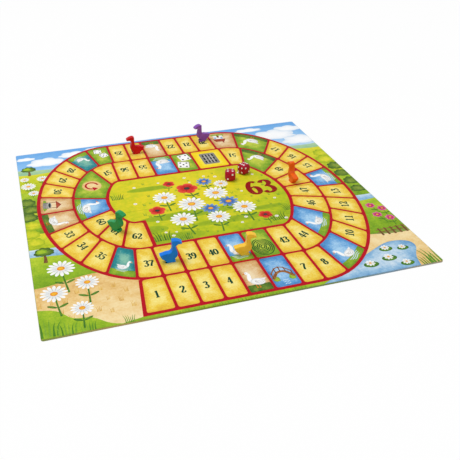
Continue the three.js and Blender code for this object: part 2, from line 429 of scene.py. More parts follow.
def noise(tree, size, detail=4.0):
    """Noise with patches of about the given size in millimetres."""
    made = on_piece(tree, "ShaderNodeTexNoise", 1.0 / (size * MM))
    made.inputs["Detail"].default_value = detail
    return made.outputs["Fac"]


def weave(tree, pitch, axis):
    """Stripes across one axis, a thread pitch in millimetres apart."""
    made = on_piece(tree, "ShaderNodeTexWave", WAVE_PERIOD / (pitch * MM))
    made.bands_direction = axis
    made.inputs["Distortion"].default_value = 0.6
    return made.outputs["Fac"]


def ramp(tree, factor, colours):
    made = tree.nodes.new("ShaderNodeValToRGB")
    stops = made.color_ramp.elements
    last = len(colours) - 1
    for index in range(1, last):
        stops.new(index / last)
    for stop, colour in zip(stops, colours):
        stop.color = linear(colour)
    tree.links.new(factor, made.inputs["Fac"])
    return made.outputs["Color"]


def spread(tree, factor, low, high):
    """Carries a factor from 0 to 1 over to the range from low to high."""
    made = tree.nodes.new("ShaderNodeMapRange")
    made.inputs["To Min"].default_value = low
    made.inputs["To Max"].default_value = high
    tree.links.new(factor, made.inputs["Value"])
    return made.outputs["Result"]


def bump(tree, shader, height, depth, strength):
    made = tree.nodes.new("ShaderNodeBump")
    made.inputs["Strength"].default_value = strength
    made.inputs["Distance"].default_value = depth * MM
    tree.links.new(height, made.inputs["Height"])
    tree.links.new(made.outputs["Normal"], shader.inputs["Normal"])


def paint(tree, shader, factor, colours):
    tree.links.new(ramp(tree, factor, colours), shader.inputs["Base Color"])


def gloss(tree, shader, size, low, high, specular=0.5):
    """Roughness that goes from low to high in patches of a size in millimetres."""
    tree.links.new(spread(tree, noise(tree, size), low, high), shader.inputs["Roughness"])
    shader.inputs["Specular IOR Level"].default_value = specular


def mix_shaders(tree, share, first, second, output):
    """Sends two shaders to an output, the second of them by a share."""
    mix = tree.nodes.new("ShaderNodeMixShader")
    tree.links.new(share, mix.inputs["Fac"])
    tree.links.new(first, mix.inputs[1])
    tree.links.new(second, mix.inputs[2])
    tree.links.new(mix.outputs["Shader"], tree.nodes[output].inputs["Surface"])


# Materials

def varnish(tree, shader):
    """Satin varnish over a fine canvas emboss, the same on all the print."""
    gloss(tree, shader, 6.0, 0.42, 0.56, 0.1)
    emboss = calculate(tree, "ADD", weave(tree, 0.8, "X"), weave(tree, 0.8, "Y"))
    bump(tree, shader, emboss, 0.012, 0.5)


def ink_material(name):
    """Printed colour: a tone laid down with the shape, mottled in broad and in fine patches."""
    dark, middle, light, strength, size = INKS[name]
    material, tree, shader = new_material(name)
    tone = tree.nodes.new("ShaderNodeAttribute")
    tone.attribute_name = "tone"
    broad = calculate(tree, "SUBTRACT", noise(tree, size), 0.5)
    fine = calculate(tree, "SUBTRACT", noise(tree, size * INK_FINE_SIZE), 0.5)
    patches = calculate(tree, "ADD", broad, calculate(tree, "MULTIPLY", fine, INK_FINE_SHARE))
    patches = calculate(tree, "MULTIPLY", patches, 2.0 * strength)
    paint(tree, shader, calculate(tree, "ADD", tone.outputs["Fac"], patches), (dark, middle, light))
    varnish(tree, shader)
    return material


def across_board(tree, axis):
    """From 0 at one edge of the board to 1 at the other, a little uneven."""
    place = tree.nodes.new("ShaderNodeTexCoord")
    split = tree.nodes.new("ShaderNodeSeparateXYZ")
    tree.links.new(place.outputs["Object"], split.inputs["Vector"])
    way = calculate(tree, "MULTIPLY", split.outputs[axis], 0.5 / (HALF_BOARD * MM))
    uneven = calculate(tree, "MULTIPLY", noise(tree, 25.0), 0.12)
    return calculate(tree, "ADD", calculate(tree, "ADD", way, 0.44), uneven)


def paper_material():
    """The sheet under the inks and round the edges, in the colours of the print beside each edge, darkened
    with painted shade.
    """
    material, tree, shader = new_material("printed_paper_painted_shade")
    depth = across_board(tree, "Y")
    mix = tree.nodes.new("ShaderNodeMix")
    mix.data_type = "RGBA"
    tree.links.new(calculate(tree, "LESS_THAN", depth, FRONT_EDGE_SHARE), mix.inputs["Factor"])
    # Painted shade: both edge ramps hold the print's colours darker, for the shade on the board's edges.
    tree.links.new(ramp(tree, depth, SHADED_SIDE_EDGE), mix.inputs[6])
    tree.links.new(ramp(tree, across_board(tree, "X"), SHADED_FRONT_EDGE), mix.inputs[7])
    tree.links.new(mix.outputs[2], shader.inputs["Base Color"])
    varnish(tree, shader)
    return material


def board_material():
    material, tree, shader = new_material("grey_board")
    paint(tree, shader, noise(tree, 1.2, 8.0), BOARD_GREYS)
    shader.inputs["Roughness"].default_value = 0.92
    bump(tree, shader, noise(tree, 0.5), 0.05, 0.6)
    return material


def cloth_material(name, colours, pitch, depth):
    material, tree, shader = new_material(name)
    threads = calculate(tree, "MULTIPLY", weave(tree, pitch, "X"), weave(tree, pitch, "Y"))
    worn = calculate(tree, "MULTIPLY", noise(tree, 18.0), 0.5)
    paint(tree, shader, calculate(tree, "ADD", calculate(tree, "MULTIPLY", threads, 0.5), worn), colours)
    gloss(tree, shader, 9.0, 0.66, 0.84)
    bump(tree, shader, threads, depth, 0.6)
    return material


def plastic_material(name, colours):
    """Moulded satin plastic with faint flow marks and handling wear."""
    material, tree, shader = new_material(name)
    paint(tree, shader, noise(tree, 9.0), colours)
    gloss(tree, shader, 3.0, 0.3, 0.44, 0.2)
    bump(tree, shader, noise(tree, 0.7), 0.03, 0.35)
    return material


def dice_material():
    """Deep red polished plastic, slightly cloudy inside."""
    material, tree, shader = new_material("dice_red")
    paint(tree, shader, noise(tree, 7.0), DICE_REDS)
    gloss(tree, shader, 2.5, 0.12, 0.22, 0.25)
    bump(tree, shader, noise(tree, 1.6), 0.02, 0.2)
    return material


def pip_material():
    material, tree, shader = new_material("pip_white")
    paint(tree, shader, noise(tree, 1.0), PIP_WHITES)
    shader.inputs["Roughness"].default_value = 0.4
    bump(tree, shader, noise(tree, 0.4), 0.02, 0.3)
    return material


# Flat shapes of ink

class Spot:
    """A place on the board with its own directions, for shapes drawn in millimetres round it."""

    def __init__(self, x, y, turn=0.0, size=1.0, flip=1, stretch=(1.0, 1.0)):
        angle = math.radians(turn)
        self.origin = Vector((x, y))
        self.size = size
        self.along = Vector((math.cos(angle), math.sin(angle))) * size * flip
        self.up = Vector((-math.sin(angle), math.cos(angle))) * size
        self.stretch = stretch

    def at(self, across, up):
        offset = self.along * across + self.up * up
        return self.origin + Vector((offset.x * self.stretch[0], offset.y * self.stretch[1]))

    def near(self, across, up, turn=0.0):
        """Another spot of this size, placed and turned in this one's directions."""
        made = Spot(0, 0, turn, 1.0, 1, self.stretch)
        made.origin = self.at(across, up)
        made.size = self.size
        along = self.along * made.along.x + self.up * made.along.y
        made.up = self.along * made.up.x + self.up * made.up.y
        made.along = along
        return made


class Print:
    """Shapes on one level of ink, gathered for the whole board and then cut at the fold."""

    def __init__(self, level):
        self.name = f"print_{level:02d}"
        self.height = level * INK_STEP
        self.points = []
        self.tones = []
        self.faces = []
        self.face_inks = []
        self.inks = []

    def add(self, ink, points, tones, faces):
        if ink not in self.inks:
            self.inks.append(ink)
        first = len(self.points)
        self.points.extend(points)
        self.tones.extend(tones)
        self.faces.extend([[first + index for index in face] for face in faces])
        self.face_inks.extend([self.inks.index(ink)] * len(faces))

    def fill(self, ink, outline, edge=0.3, middle=0.7, rings=(1.0, 0.8, 0.5)):
        """A shape that can be shrunk to its middle, toned from its edge inwards."""
        count = len(outline)
        centre = sum(outline, Vector((0, 0))) / count
        points = [centre + (point - centre) * ring for ring in rings for point in outline]
        tones = [middle + (edge - middle) * ring ** 2 for ring in rings for _ in outline]
        faces = [list(range(count * (len(rings) - 1), count * len(rings)))]
        for ring in range(len(rings) - 1):
            for index in range(count):
                after = (index + 1) % count
                low = ring * count
                high = low + count
                faces.append([low + index, low + after, high + after, high + index])
        self.add(ink, points, tones, faces)

    def band(self, ink, lower, upper, low=0.2, high=0.8):
        """A strip between two lines of as many points."""
        count = len(lower)
        points = list(lower) + [(a + b) / 2 for a, b in zip(lower, upper)] + list(upper)
        tones = [low] * count + [(low + high) / 2] * count + [high] * count
        faces = []
        for row in (0, count):
            for index in range(row, row + count - 1):
                faces.append([index, index + 1, index + 1 + count, index + count])
        self.add(ink, points, tones, faces)

    def stroke(self, ink, points, widths, tone=0.5):
        """A line along points, with a width for each of them."""
        left = []
        right = []
        for index, point in enumerate(points):
            heading = points[min(index + 1, len(points) - 1)] - points[max(index - 1, 0)]
            side = Vector((-heading.y, heading.x)).normalized() * widths[index] / 2
            left.append(point + side)
            right.append(point - side)
        count = len(points)
        faces = [[i, i + 1, count + i + 1, count + i] for i in range(count - 1)]
        self.add(ink, right + left, [tone] * (2 * count), faces)


def shape(spot, points):
    return [spot.at(*point) for point in points]


def tapered(points, start, finish):
    """Widths along points, from one to another."""
    last = len(points) - 1
    return [start + (finish - start) * index / last for index in range(last + 1)]


def pen(sheet, ink, spot, points, width, tone):
    """A line with straight stretches, of one width."""
    line = shape(spot, points)
    sheet.stroke(ink, line, [width * spot.size] * len(line), tone)


def curve(sheet, ink, spot, points, width, tone, finish=None, steps=5):
    """A smooth line, from one width to another where that is given."""
    line = smooth(shape(spot, points), steps)
    last = width if finish is None else finish
    sheet.stroke(ink, line, tapered(line, width * spot.size, last * spot.size), tone)


def ellipse(spot, across, up, wide, high, turn=0.0, count=20):
    angle = math.radians(turn)
    outline = []
    for step in range(count):
        part = 2 * math.pi * step / count
        x = wide * math.cos(part)
        y = high * math.sin(part)
        outline.append(spot.at(across + x * math.cos(angle) - y * math.sin(angle),
                               up + x * math.sin(angle) + y * math.cos(angle)))
    return outline


def scalloped(spot, wide, high, bumps, depth, count=60):
    """Outline of a cloud or bush: an ellipse with rounded bumps and a flatter foot."""
    outline = []
    for step in range(count):
        angle = 2 * math.pi * step / count
        reach = 1.0 - depth * (1.0 - abs(math.sin(bumps * angle / 2)))
        lift = math.sin(angle) * high
        if lift < 0:
            lift *= 0.45
        outline.append(spot.at(math.cos(angle) * wide * reach, lift * reach))
    return outline


def rosette(spot, radius, petals, notch):
    """Outline of a flower with round petals."""
    outline = []
    for step in range(petals * 8):
        angle = 2 * math.pi * step / (petals * 8)
        lobe = abs(math.sin(petals * angle / 2)) ** 0.6
        reach = radius * (1 - notch + notch * lobe)
        outline.append(spot.at(reach * math.cos(angle), reach * math.sin(angle)))
    return outline


def box_outline(spot, left, low, right, high):
    return shape(spot, [(left, low), (right, low), (right, high), (left, high)])


def smooth(points, steps=5):
    """Points on a curve that passes through the given ones."""
    padded = [points[0] * 2 - points[1], *points, points[-1] * 2 - points[-2]]
    line = []
    for index in range(1, len(padded) - 2):
        before, here, after, later = padded[index - 1:index + 3]
        for step in range(steps):
            t = step / steps
            line.append(0.5 * (2 * here + (after - before) * t
                               + (2 * before - 5 * here + 4 * after - later) * t ** 2
                               + (3 * here - before - 3 * after + later) * t ** 3))
    line.append(points[-1])
    return line


def corners(points):
    """Each point with the directions of the sides before and after it."""
    count = len(points)
    for index, here in enumerate(points):
        into = (here - points[index - 1]).normalized()
        out = (points[(index + 1) % count] - here).normalized()
        yield here, into, out


def inset(points, distance):
    """An outline moved inwards, for points that run anticlockwise."""
    moved = []
    for here, into, out in corners(points):
        normal = Vector((-into.y, into.x))
        middle = (normal + Vector((-out.y, out.x))).normalized()
        moved.append(here + middle * distance / max(middle.dot(normal), 0.5))
    return moved


def rounded(points, radius):
    """An outline with its sharp corners rounded, at most over most of the shorter side beside each."""
    shaped = []
    count = len(points)
    for index, (here, into, out) in enumerate(corners(points)):
        if into.dot(out) > 0.8:
            shaped.append(here)
            continue
        room = min((here - points[index - 1]).length, (points[(index + 1) % count] - here).length)
        reach = min(radius, 0.9 * room)
        start = here - into * reach
        finish = here + out * reach
        for step in range(5):
            t = step / 4
            shaped.append(start * (1 - t) ** 2 + here * 2 * t * (1 - t) + finish * t ** 2)
    return shaped


# Pieces of print

def add_object(name, data):
    made = bpy.data.objects.new(name, data)
    bpy.context.collection.objects.link(made)
    return made


def add_shape(name, mesh, material):
    """An object of one material from a mesh under work."""
    data = bpy.data.meshes.new(name)
    mesh.to_mesh(data)
    mesh.free()
    data.materials.append(material)
    return add_object(name, data)


def cut(mesh, place, direction):
    """Cuts away what lies beyond a plane."""
    everything = mesh.verts[:] + mesh.edges[:] + mesh.faces[:]
    bmesh.ops.bisect_plane(mesh, geom=everything, dist=1e-5, clear_outer=True,
                           plane_co=place, plane_no=direction)


def half_of(sheet, side):
    """The part of a flat print on one half of the board: -1 is the front one, 1 the back one."""
    flat = bmesh.new()
    tone = flat.verts.layers.float.new("tone")
    for point, value in zip(sheet.points, sheet.tones):
        vertex = flat.verts.new((point.x, point.y, 0))
        vertex[tone] = value
    flat.verts.ensure_lookup_table()
    for face, ink in zip(sheet.faces, sheet.face_inks):
        made = flat.faces.new([flat.verts[index] for index in face])
        made.material_index = ink
        made.normal_update()
        if made.normal.z < 0:
            made.normal_flip()
    edge = HALF_BOARD - EDGE_MARGIN
    cut(flat, (0, side * max(FOLD_EDGE, sheet.height + FOLD_ROOM), 0), (0, -side, 0))
    cut(flat, (0, side * edge, 0), (0, side, 0))
    for end in (-1, 1):
        cut(flat, (end * edge, 0, 0), (end, 0, 0))
        corner = Vector((end * (edge - CORNER_CUT / 2), side * (edge - CORNER_CUT / 2), 0))
        cut(flat, corner, (end, side, 0))
    return flat


def thicken(flat, name, top):
    """A closed sheet of ink from the paper up to the given height."""
    count = len(flat.verts)
    flat.verts.index_update()
    tone = flat.verts.layers.float["tone"]
    flat_places = [(vertex.co.x * MM, vertex.co.y * MM) for vertex in flat.verts]
    places = [(x, y, top * MM) for x, y in flat_places] + [(x, y, BOARD_TOP * MM) for x, y in flat_places]
    faces = []
    inks = []
    for face in flat.faces:
        ring = [vertex.index for vertex in face.verts]
        faces.append(ring)
        faces.append([count + index for index in reversed(ring)])
        inks.extend([face.material_index] * 2)
        for loop in face.loops:
            if len(loop.edge.link_faces) == 1:
                here = loop.vert.index
                after = loop.link_loop_next.vert.index
                faces.append([after, here, count + here, count + after])
                inks.append(face.material_index)
    mesh = bpy.data.meshes.new(name)
    mesh.from_pydata(places, [], faces)
    mesh.polygons.foreach_set("material_index", inks)
    values = mesh.attributes.new("tone", "FLOAT", "POINT")
    values.data.foreach_set("value", [vertex[tone] for vertex in flat.verts] * 2)
    return mesh


def flat_map(mesh):
    """Lays the bake out as the print lies on its half of the board."""
    layer = mesh.uv_layers.new(name="OFBake")
    for loop in mesh.loops:
        place = mesh.vertices[loop.vertex_index].co / MM
        layer.data[loop.index].uv = (0.5 + 0.5 * place.x / HALF_BOARD, abs(place.y) / HALF_BOARD)


def lay_print(sheet, materials):
    """Lays one level of ink on the two halves of the board."""
    for side, half in ((-1, "front"), (1, "back")):
        flat = half_of(sheet, side)
        if not flat.faces:
            continue
        mesh = thicken(flat, f"{half}_{sheet.name}", BOARD_TOP + sheet.height)
        flat.free()
        for ink in sheet.inks:
            mesh.materials.append(materials[ink])
        flat_map(mesh)
        piece = add_object(mesh.name, mesh)
        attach(piece, f"{half}_half")


# Track

def end_point(x, front, back, reach, angle, slack):
    """A point on a half oval that turns the track round one end, drawn in a little on its diagonals."""
    drawn_in = 1 - slack * math.sin(2 * angle) ** 2
    y = (front + back) / 2 - (back - front) / 2 * math.cos(angle) * drawn_in
    return Vector((x + reach * math.sin(angle) * drawn_in, y))


def track_point(way, depth):
    """A point on the track: way counts four stretches to a turn, depth goes from outer to inner line."""
    turn = max(0, math.floor(way / 4))
    along = way - 4 * turn
    depth += turn
    front = TRACK_ROW * depth - TRACK_TOP
    back = TRACK_TOP - BACK_ROW * depth
    slack = END_SLACK + END_SLACK_GROWTH * max(0, depth) ** 3
    if along < 1:
        return Vector((LEFT_END + along * STRAIGHT, front))
    if along < 2:
        reach = RIGHT_REACH - RIGHT_STEP * depth - RIGHT_STEP_GROWTH * depth ** 2
        return end_point(RIGHT_END, front, back, reach, (along - 1) * math.pi, slack)
    if along < 3:
        return Vector((RIGHT_END - (along - 2) * STRAIGHT, back))
    reach = LEFT_REACH - LEFT_STEP * depth
    return end_point(LEFT_END, front + TRACK_ROW, back, -reach, (4 - along) * math.pi, slack)


def way_at(turn, stretch, place):
    """Way of a line across the track, from its turn, its stretch and its place there, as in TURNS."""
    parts = ((place - LEFT_END) / STRAIGHT, place / 180, (RIGHT_END - place) / STRAIGHT, place / 180)
    return 4 * turn + stretch + parts[stretch]


def space_lines():
    """Ways of the lines between the spaces, from the start on."""
    lines = [way_at(0, FRONT, START_LINE[0])]
    for turn, stretches in enumerate(TURNS):
        for stretch, places in enumerate(stretches):
            lines += [way_at(turn, stretch, place) for place in places]
    lines.append(way_at(len(TURNS), FRONT, END_LINE))
    return lines


def start_lean(way):
    """How much further along the inner line a line across the track ends; only the start leans."""
    outer, inner = [way_at(0, FRONT, x) for x in START_LINE]
    return (inner - outer) * max(0.0, way / outer)


def space_outline(begin, end, inner=1.0):
    """Outline of the track between two lines, from its outer line to a depth; the very first line leans."""
    start = begin + start_lean(begin)
    ends = [(begin, 0.0), (end, 0.0), (end, inner), (start, inner)]
    outline = []
    for (way, depth), (next_way, next_depth) in zip(ends, ends[1:] + ends[:1]):
        length = (track_point(next_way, next_depth) - track_point(way, depth)).length
        steps = max(1, round(length / OUTLINE_STEP))
        for step in range(steps):
            part = step / steps
            outline.append(track_point(way + (next_way - way) * part, depth + (next_depth - depth) * part))
    return outline


def space_spot(begin, end, depth):
    """The middle of a space at a depth, and the turn in degrees of the track there."""
    way = (begin + start_lean(begin) * depth + end) / 2
    middle = track_point(way, depth)
    heading = track_point(way + 0.01, depth) - track_point(way - 0.01, depth)
    return middle, math.degrees(math.atan2(heading.y, heading.x))


def track_strip(sheet, begin, end, steps, outer, inner):
    """Red ground under a length of the track, with a border outside and inside."""
    lower = []
    upper = []
    for step in range(steps + 1):
        way = begin + (end - begin) * step / steps
        width = (track_point(way, 1) - track_point(way, 0)).length
        lower.append(track_point(way, -outer / width))
        upper.append(track_point(way + start_lean(way), 1 + inner / width))
    sheet.band("red_line", lower, upper, 0.5, 0.5)


def draw_track(ink, lines):
    border = BORDER / STRAIGHT
    meadow_side = way_at(1, FRONT, END_LINE) + border
    track_strip(ink[TRACK_LEVEL], lines[0] - border, JOIN_BEGIN, FIRST_TURN_STEPS, BORDER, 0.0)
    track_strip(ink[TRACK_LEVEL], JOIN_BEGIN, meadow_side, JOIN_STEPS, 0.0, 0.0)
    track_strip(ink[TRACK_LEVEL - 1], JOIN_BEGIN, JOIN_END, JOIN_STEPS, BORDER, 0.0)
    track_strip(ink[TRACK_LEVEL], meadow_side, lines[-1] + border, LAST_TURN_STEPS, 0.0, BORDER)
    for number in range(1, GOAL):
        begin = lines[number - 1]
        end = lines[number]
        ground = SPECIAL_SPACES[number][1] if number in SPECIAL_SPACES else "space_yellow"
        outline = rounded(inset(space_outline(begin, end), LINE_INSET), SPACE_CORNER)
        ink[SPACE_LEVEL].fill(ground, outline, 0.2, 0.95, (1.0, 0.92, 0.8, 0.5, 0.2))


# Numbers

def oval(wide, high, centre, begin=90, sweep=360, count=12):
    """Points on an oval, from an angle in degrees on."""
    points = []
    for step in range(count + 1):
        angle = math.radians(begin + sweep * step / count)
        points.append((centre[0] + wide * math.cos(angle), centre[1] + high * math.sin(angle)))
    return points


# Pen lines of the digits in a box one unit high: each line is its points, then a pen width or None
# for a broad pen that is thick on upright lines and thin on level ones.
DIGITS = {
    "0": [(oval(0.2, 0.42, (0.28, 0.5)), None)],
    "1": [([(0.3, 0.04), (0.3, 0.5), (0.3, 0.94)], None), ([(0.12, 0.8), (0.22, 0.86), (0.3, 0.94)], 0.09),
          ([(0.1, 0.05), (0.3, 0.06), (0.5, 0.05)], 0.1)],
    "2": [([(0.1, 0.74), (0.16, 0.89), (0.29, 0.94), (0.43, 0.86), (0.45, 0.69), (0.34, 0.46), (0.2, 0.26),
            (0.09, 0.1)], None), ([(0.07, 0.08), (0.28, 0.08), (0.46, 0.08), (0.52, 0.25)], 0.13)],
    "3": [([(0.1, 0.79), (0.17, 0.91), (0.29, 0.94), (0.41, 0.84), (0.41, 0.68), (0.3, 0.56),
            (0.2, 0.53)], None),
          ([(0.2, 0.53), (0.34, 0.5), (0.45, 0.36), (0.44, 0.18), (0.31, 0.06), (0.16, 0.07),
            (0.08, 0.2)], None)],
    "4": [([(0.37, 0.94), (0.21, 0.62), (0.05, 0.3)], 0.08), ([(0.05, 0.3), (0.3, 0.3), (0.55, 0.3)], 0.1),
          ([(0.39, 0.94), (0.39, 0.5), (0.39, 0.04)], None),
          ([(0.25, 0.04), (0.39, 0.04), (0.53, 0.04)], 0.07)],
    "5": [([(0.13, 0.9), (0.12, 0.72), (0.1, 0.53)], 0.08), ([(0.12, 0.9), (0.3, 0.9), (0.47, 0.91)], 0.13),
          ([(0.1, 0.53), (0.24, 0.6), (0.39, 0.54), (0.45, 0.36), (0.41, 0.16), (0.28, 0.06), (0.16, 0.07),
            (0.08, 0.19)], None)],
    "6": [([(0.46, 0.86), (0.35, 0.94), (0.22, 0.85), (0.12, 0.62), (0.1, 0.38), (0.15, 0.16), (0.29, 0.06),
            (0.42, 0.16), (0.46, 0.34), (0.41, 0.51), (0.29, 0.57)], None),
          ([(0.29, 0.57), (0.19, 0.5), (0.11, 0.36)], 0.08)],
    "7": [([(0.06, 0.9), (0.28, 0.9), (0.51, 0.9)], 0.14), ([(0.07, 0.9), (0.06, 0.82), (0.05, 0.74)], 0.07),
          ([(0.5, 0.88), (0.36, 0.58), (0.26, 0.3), (0.23, 0.04)], None)],
    "8": [(oval(0.155, 0.2, (0.28, 0.74)), None), (oval(0.19, 0.235, (0.28, 0.29)), None)],
}
DIGITS["9"] = [([(DIGIT_ADVANCE - x, 1 - y) for x, y in points], width) for points, width in DIGITS["6"]]


def pen_widths(points, width):
    """Pen width at each point, between thin on level lines and thick on upright ones."""
    widths = []
    for index in range(len(points)):
        heading = points[min(index + 1, len(points) - 1)] - points[max(index - 1, 0)]
        upright = abs(heading.y) / max(heading.length, 1e-6)
        widths.append(width or THIN_STROKE + (THICK_STROKE - THIN_STROKE) * upright ** 1.5)
    return widths


def draw_number(ink, colour, text, place, turn, height, stretch):
    spot = Spot(place[0], place[1], turn, height, 1, stretch)
    shift = -DIGIT_ADVANCE * len(text) / 2
    for index, digit in enumerate(text):
        left = shift + index * DIGIT_ADVANCE
        for level, (points, width) in enumerate(DIGITS[digit], SYMBOL_LEVEL):
            line = smooth([Vector(point) for point in points], 4)
            widths = [height * value for value in pen_widths(line, width)]
            ink[level].stroke(colour, [spot.at(left + point.x, point.y - 0.5) for point in line], widths)


def draw_numbers(ink, lines):
    for number in range(1, GOAL):
        if number in SPECIAL_SPACES:
            continue
        depth = OUTER_NUMBER_DEPTH if lines[number] < 4 else INNER_NUMBER_DEPTH
        place, turn = space_spot(lines[number - 1], lines[number], depth)
        draw_number(ink, "number_green", str(number), place, turn, NUMBER_HEIGHT, NUMBER_STRETCH)
    draw_number(ink, "goal_red", str(GOAL), GOAL_PLACE, 0, GOAL_HEIGHT, GOAL_STRETCH)


# Symbols on the special spaces, each drawn in its box and fitted to its space

def draw_goose(ink, base, spot, swims):
    low, middle, top = ink[base:base + 3]
    if not swims:
        for across in (-0.5, 3.0):
            curve(low, "beak", spot, [(across, -6), (across + 0.6, -9), (across, -12)], 1.0, 0.4)
            foot = [(across - 1, -12.6), (across + 2.2, -12.6), (across, -11)]
            middle.fill("beak", shape(spot, foot))
    low.fill("feather", shape(spot, [(-13, 1.5), (-6, -5), (-3, 2)]), 0.35, 0.7)
    neck = [(3.5, -3), (7, 2), (6.2, 7), (5.6, 10.5), (7, 13.4)]
    curve(low, "feather", spot, neck, 6.0, 0.85, 3.0)
    middle.fill("feather", ellipse(spot, -1, -2.6, 9, 5.4, 8), 0.25, 1.0)
    middle.fill("feather", ellipse(spot, 7.4, 13.4, 2.7, 2.2, 0, 14), 0.6, 1.0)
    top.fill("beak", shape(spot, [(9.3, 14.4), (9.4, 12.2), (13, 12.2)]))
    top.fill("dark", ellipse(spot, 8.1, 13.9, 0.5, 0.5, 0, 10))
    for lift in (0.0, -2.0, -4.0):
        wing = [(-9 + lift / 3, -0.4 + lift / 2), (-3, -2 + lift), (2.5, -0.5 + lift / 2)]
        curve(top, "stone", spot, wing, 0.3, 0.75, 0.8)
    if swims:
        for row in range(3):
            inset_by = row * 2
            drop = row * 2.2
            wave = [(-12 + inset_by, -8.9 - drop), (-5, -8.1 - drop),
                    (2, -9.1 - drop), (11 - inset_by, -8.3 - drop)]
            curve(low, "sky", spot, wave, 0.9, 0.95)


def draw_bridge(ink, base, spot):
    low, middle, top = ink[base:base + 3]
    for end in (-1, 1):
        low.fill("grass", scalloped(spot.near(9.6 * end, -10), 4.2, 6, 5, 0.15), 0.2, 0.8)
    for row in range(3):
        up = -12 - 3 * row
        curve(low, "sky", spot, [(-3.4, up), (-1, up + 1), (1, up), (3.4, up + 1)], 0.9, 0.95)
    for lift, width in ((0.0, 4.0), (7.0, 1.6)):
        arch = [(-13, -8 + lift), (-6, lift), (0, 2 + lift), (6, lift), (13, -8 + lift)]
        curve(middle, "timber", spot, arch, width, 0.6)
    for across, foot in ((-12, -6.5), (-6, 0), (0, 2), (6, 0), (12, -6.5)):
        pen(top, "timber", spot, [(across, foot), (across, foot + 8.5)], 1.3, 0.3)


def draw_inn(ink, base, spot):
    garden, walls, roof, tiles = ink[base:base + 4]
    garden.fill("grass", scalloped(spot.near(0, -12), 13, 6, 7, 0.12), 0.2, 0.8)
    walls.fill("ivory", box_outline(spot, -9, -10, 9, 4), 0.2, 0.7)
    walls.fill("roof", box_outline(spot, 4, 12, 7, 17), 0.2, 0.4)
    roof.fill("roof", shape(spot, [(-12, 3), (12, 3), (8, 13), (-8, 13)]), 0.3, 0.6)
    roof.fill("timber", box_outline(spot, -2, -10, 2.4, -2.5), 0.3, 0.6)
    for across in (-6, 6):
        roof.fill("water", box_outline(spot, across - 1.8, -3, across + 1.8, 1.4), 0.2, 0.7)
    for row in range(3):
        up = 5.5 + 2.6 * row
        pen(tiles, "timber", spot, [(-10.5 + row, up), (10.5 - row, up)], 0.5, 0.3)


def pip_places(value):
    """Columns and rows of the pips on the face of a die."""
    places = [(0, 0)] if value % 2 else []
    if value > 1:
        places += [(-1, -1), (1, 1)]
    if value > 3:
        places += [(-1, 1), (1, -1)]
    if value == 6:
        places += [(-1, 0), (1, 0)]
    return places


def draw_dice(ink, base, spot):
    shadow, cube, pips = ink[base:base + 3]
    for across, up, turn, value in ((-3.5, 9.5, 14, 5), (3.5, -9.5, -12, 4)):
        face = spot.near(across, up, turn)
        shadow.fill("dark", rounded(box_outline(face, -7.4, -8.8, 8.6, 7.2), 2.2), 0.4, 0.6)
        cube.fill("ivory", rounded(box_outline(face, -8, -8, 8, 8), 2.2), 0.5, 1.0)
        for column, row in pip_places(value):
            pips.fill("dark", ellipse(face, column * 4.4, row * 4.4, 1.5, 1.5, 0, 12), 0.2, 0.4)


def draw_well(ink, base, spot):
    garden, foot, wall, rim, water, roof = ink[base:base + 6]
    garden.fill("grass", scalloped(spot.near(0, -11), 15, 5, 7, 0.12), 0.2, 0.8)
    foot.fill("stone", ellipse(spot, 0, -11, 8, 2.6), 0.3, 0.4)
    wall.fill("stone", box_outline(spot, -8, -11, 8, -3), 0.2, 0.7)
    rim.fill("stone", ellipse(spot, 0, -3, 8.4, 3), 0.7, 0.9)
    water.fill("dark", ellipse(spot, 0, -3, 6, 1.9), 0.3, 0.2)
    for across in (-7, 7):
        pen(water, "timber", spot, [(across, -3), (across, 8)], 1.5, 0.4)
    roof.fill("roof", shape(spot, [(-11, 7), (11, 7), (0, 15)]), 0.3, 0.6)
    for row in range(2):
        up = -7 - 2.4 * row
        pen(rim, "dark", spot, [(-8, up), (8, up)], 0.4, 0.9)


def draw_maze(ink, base, spot):
    """Hedge rings, each with one gap."""
    for ring in range(6):
        wide = 2.2 + 2.1 * ring
        gap = 70 + 150 * ring
        hedge = oval(wide, wide * 1.15, (0, 0), gap, 330, 20)
        curve(ink[base], "leaf", spot, hedge, 1.5, 0.0, steps=3)


def draw_prison(ink, base, spot):
    wall, window, bars, rails = ink[base:base + 4]
    wall.fill("stone", rounded(box_outline(spot, -11, -14, 11, 14), 3 * spot.size), 0.2, 0.6)
    window.fill("dark", box_outline(spot, -8, -10.5, 8, 10.5), 0.2, 0.5)
    for across in (-4.4, 0, 4.4):
        pen(bars, "stone", spot, [(across, -10.5), (across, 10.5)], 1.9, 0.8)
    for up in (-3.8, 3.8):
        pen(rails, "stone", spot, [(-8, up), (8, up)], 1.5, 0.65)


def draw_return(ink, base, spot):
    """An arrow that turns back on itself."""
    disc, ring, head = ink[base:base + 3]
    wide = 8.5
    high = 9.5
    begin = 120
    sweep = 270
    finish = math.radians(begin + sweep)
    disc.fill("sand", ellipse(spot, 0, 0, 14, 15, 0, 28), 0.3, 0.8)
    curve(ring, "red_line", spot, oval(wide, high, (0, 0), begin, sweep, 16), 3.2, 0.4, steps=3)
    tip = spot.near(wide * math.cos(finish), high * math.sin(finish), begin + sweep)
    head.fill("red_line", shape(tip, [(-5, -1), (5, -1), (0.5, 7)]), 0.4, 0.5)


def inside(outline, point):
    """Whether a point lies within an outline."""
    within = False
    for here, after in zip(outline, outline[1:] + outline[:1]):
        if (here.y > point.y) != (after.y > point.y):
            part = (point.y - here.y) / (after.y - here.y)
            if point.x < here.x + (after.x - here.x) * part:
                within = not within
    return within


